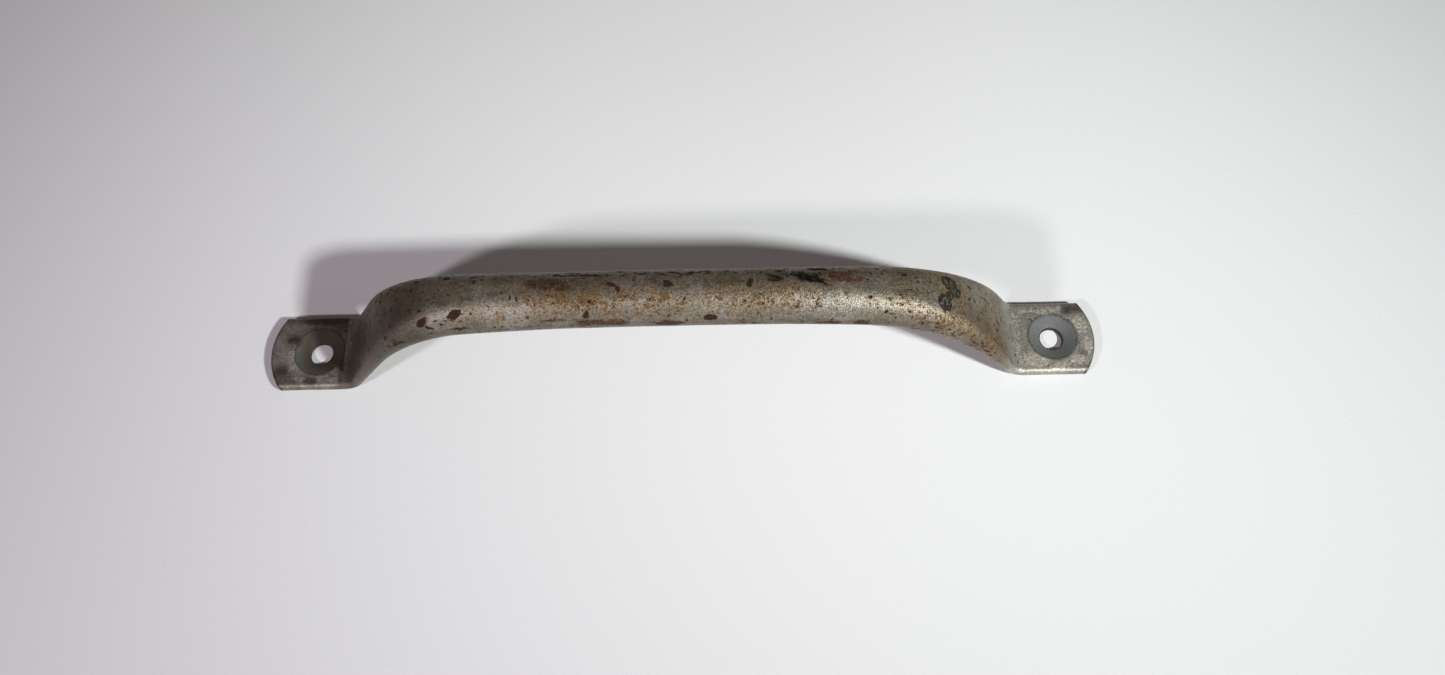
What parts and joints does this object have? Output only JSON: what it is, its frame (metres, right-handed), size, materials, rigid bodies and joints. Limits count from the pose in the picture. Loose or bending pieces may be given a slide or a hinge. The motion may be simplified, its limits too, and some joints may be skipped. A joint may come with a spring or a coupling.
{
  "type": "bow pull handle",
  "caption": "Bow pull handle bent from one length of steel tube, with both ends pressed flat into feet that each carry a countersunk screw hole.",
  "frame": {"origin": "midway between the toes, on the face of the door under both feet", "axes": "+X runs along the handle from the left foot to the right foot, +Z points away from the door, +Y lies across the handle"},
  "size_m": [0.2022, 0.019, 0.0353],
  "materials": {
    "weathered_tube": "old silver paint on steel, dulled and speckled with rust",
    "worn_foot": "worn grey paint with scratches, bare steel in the countersink"
  },
  "bodies": {
    "root": {"grip_tube": "weathered_tube", "left_shoulder": "weathered_tube", "right_shoulder": "weathered_tube", "left_leg": "weathered_tube", "right_leg": "weathered_tube", "left_foot": "worn_foot", "right_foot": "worn_foot"}
  },
  "joints": []
}
